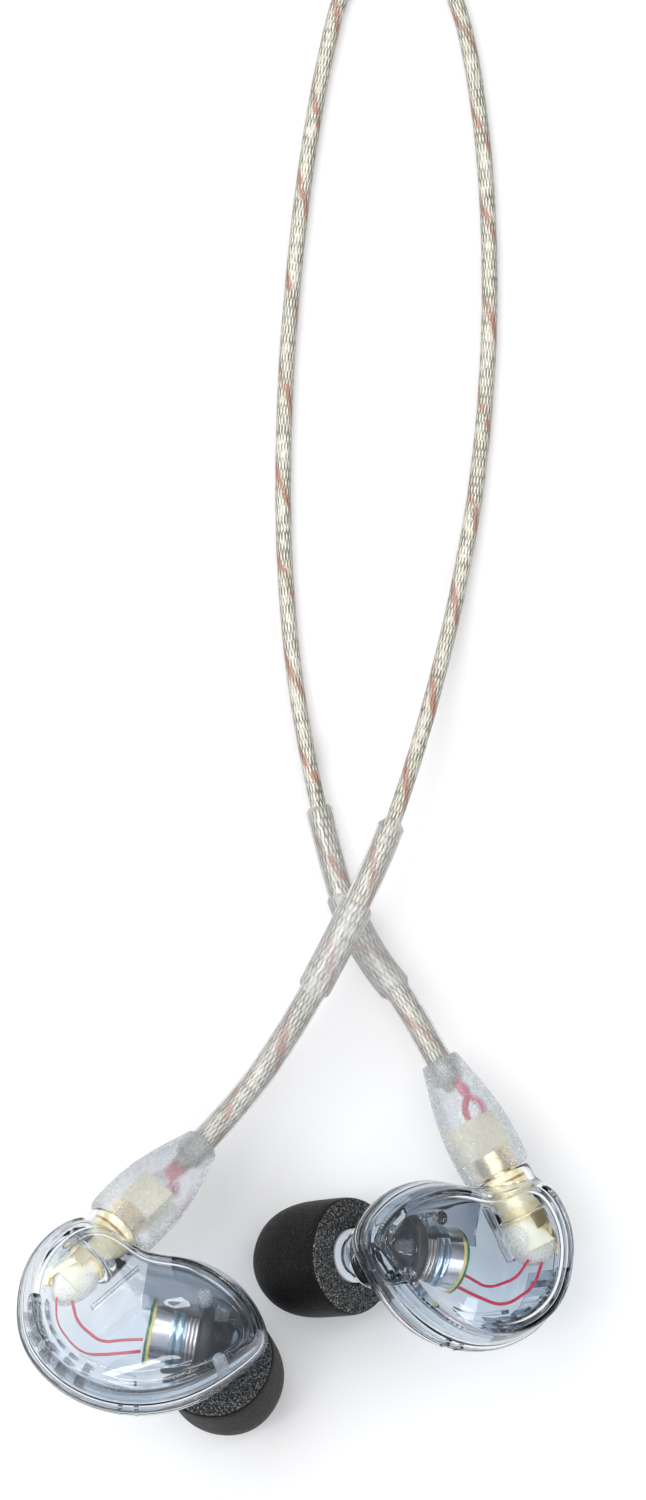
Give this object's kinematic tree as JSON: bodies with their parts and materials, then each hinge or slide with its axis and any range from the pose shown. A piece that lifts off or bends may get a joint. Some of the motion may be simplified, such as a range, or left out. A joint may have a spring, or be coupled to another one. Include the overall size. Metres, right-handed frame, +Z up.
{
  "type": "in-ear monitors",
  "caption": "Clear in-ear monitors with black foam sleeves on detachable formable cables, laid flat with the rest of the cable coiled to a stereo plug.",
  "frame": {"origin": "on the table under the middle of the two earpieces", "axes": "+Z up from the table, +Y from the earpieces along the cable, +X to the right of the set seen from above"},
  "size_m": [0.0596, 0.3081, 0.0279],
  "materials": {
    "clear_shell": "clear polished polycarbonate with a faint blue-grey tint",
    "screen_steel": "fine woven mesh",
    "black_foam": "slow-recovery foam, satin skin and open-cell cut ends",
    "sleeve_core": "translucent white soft plastic",
    "board_green": "green solder mask with a gold edge",
    "driver_steel": "turned, lightly brushed",
    "black_rubber": "moulded satin",
    "smoky_clear": "smoky translucent moulding",
    "gold": "gold plated, turned",
    "ivory_plastic": "ivory moulded insulator",
    "red_enamel": "red enamelled wire",
    "frosted_boot": "frosted translucent, fine texture",
    "clear_sheath": "clear flexible sheath",
    "memory_steel": "drawn wire",
    "braided_cable": "clear jacket over a silver braid with copper strands"
  },
  "bodies": {
    "cable_set": {"cable_split": "frosted_boot", "coil_tie": "black_rubber", "left_boot": "frosted_boot", "left_boot_insert": "ivory_plastic", "left_connector_pin": "gold", "left_connector_shell": "gold", "left_formed_sleeve": "clear_sheath", "left_leg_cable": "braided_cable", "left_memory_wire": "memory_steel", "left_overlap_sleeve": "clear_sheath", "legs_coil": "braided_cable", "main_cable": "braided_cable", "main_coil": "braided_cable", "plug_body": "frosted_boot", "plug_insulator": "black_rubber", "plug_ring": "gold", "plug_sleeve": "gold", "plug_strain_relief": "frosted_boot", "plug_tip": "gold", "right_boot": "frosted_boot", "right_boot_insert": "ivory_plastic", "right_connector_pin": "gold", "right_connector_shell": "gold", "right_formed_sleeve": "clear_sheath", "right_leg_cable": "braided_cable", "right_memory_wire": "memory_steel", "right_overlap_sleeve": "clear_sheath"},
    "cinch_slider": {"cinch_slider": "frosted_boot"},
    "left_snap_ring": {"left_snap_ring": "gold"},
    "left_ear_sleeve": {"left_foam_sleeve": "black_foam", "left_sleeve_core": "sleeve_core"},
    "left_earpiece": {"left_outer_shell": "clear_shell", "left_inner_shell": "clear_shell", "left_nozzle_screen": "screen_steel", "left_driver_board": "board_green", "left_driver_magnet_cup": "driver_steel", "left_driver_frame": "driver_steel", "left_driver_cover": "driver_steel", "left_driver_gasket": "black_rubber", "left_front_chamber": "smoky_clear", "left_socket_barrel": "gold", "left_socket_insulator": "ivory_plastic", "left_socket_contact": "gold", "left_driver_leads": "red_enamel"},
    "right_snap_ring": {"right_snap_ring": "gold"},
    "right_ear_sleeve": {"right_foam_sleeve": "black_foam", "right_sleeve_core": "sleeve_core"},
    "right_earpiece": {"right_outer_shell": "clear_shell", "right_inner_shell": "clear_shell", "right_nozzle_screen": "screen_steel", "right_driver_board": "board_green", "right_driver_magnet_cup": "driver_steel", "right_driver_frame": "driver_steel", "right_driver_cover": "driver_steel", "right_driver_gasket": "black_rubber", "right_front_chamber": "smoky_clear", "right_socket_barrel": "gold", "right_socket_insulator": "ivory_plastic", "right_socket_contact": "gold", "right_driver_leads": "red_enamel"}
  },
  "joints": [
    {"name": "left_unplug", "type": "slide", "parent": "cable_set", "child": "left_snap_ring", "axis": [-0.6287, -0.5912, 0.5051], "range_m": [0, 0.006]},
    {"name": "left_swivel", "type": "hinge", "parent": "left_snap_ring", "child": "left_earpiece", "pos_m": [-0.0198, 0.00845, 0.01529], "axis": [0.6287, 0.5912, -0.5051], "continuous": true},
    {"name": "left_sleeve_pull", "type": "slide", "parent": "left_earpiece", "child": "left_ear_sleeve", "axis": [0.171, -0.4435, -0.8798], "range_m": [0, 0.004]},
    {"name": "right_unplug", "type": "slide", "parent": "cable_set", "child": "right_snap_ring", "axis": [0.459, -0.8744, 0.1574], "range_m": [0, 0.006]},
    {"name": "right_swivel", "type": "hinge", "parent": "right_snap_ring", "child": "right_earpiece", "pos_m": [0.02197, 0.01346, 0.00912], "axis": [-0.459, 0.8744, -0.1574], "continuous": true},
    {"name": "right_sleeve_pull", "type": "slide", "parent": "right_earpiece", "child": "right_ear_sleeve", "axis": [-0.6941, -0.1594, -0.702], "range_m": [0, 0.004]},
    {"name": "slider_travel", "type": "slide", "parent": "cable_set", "child": "cinch_slider", "axis": [0, 1, 0], "range_m": [-0.0005, 0.01]}
  ]
}
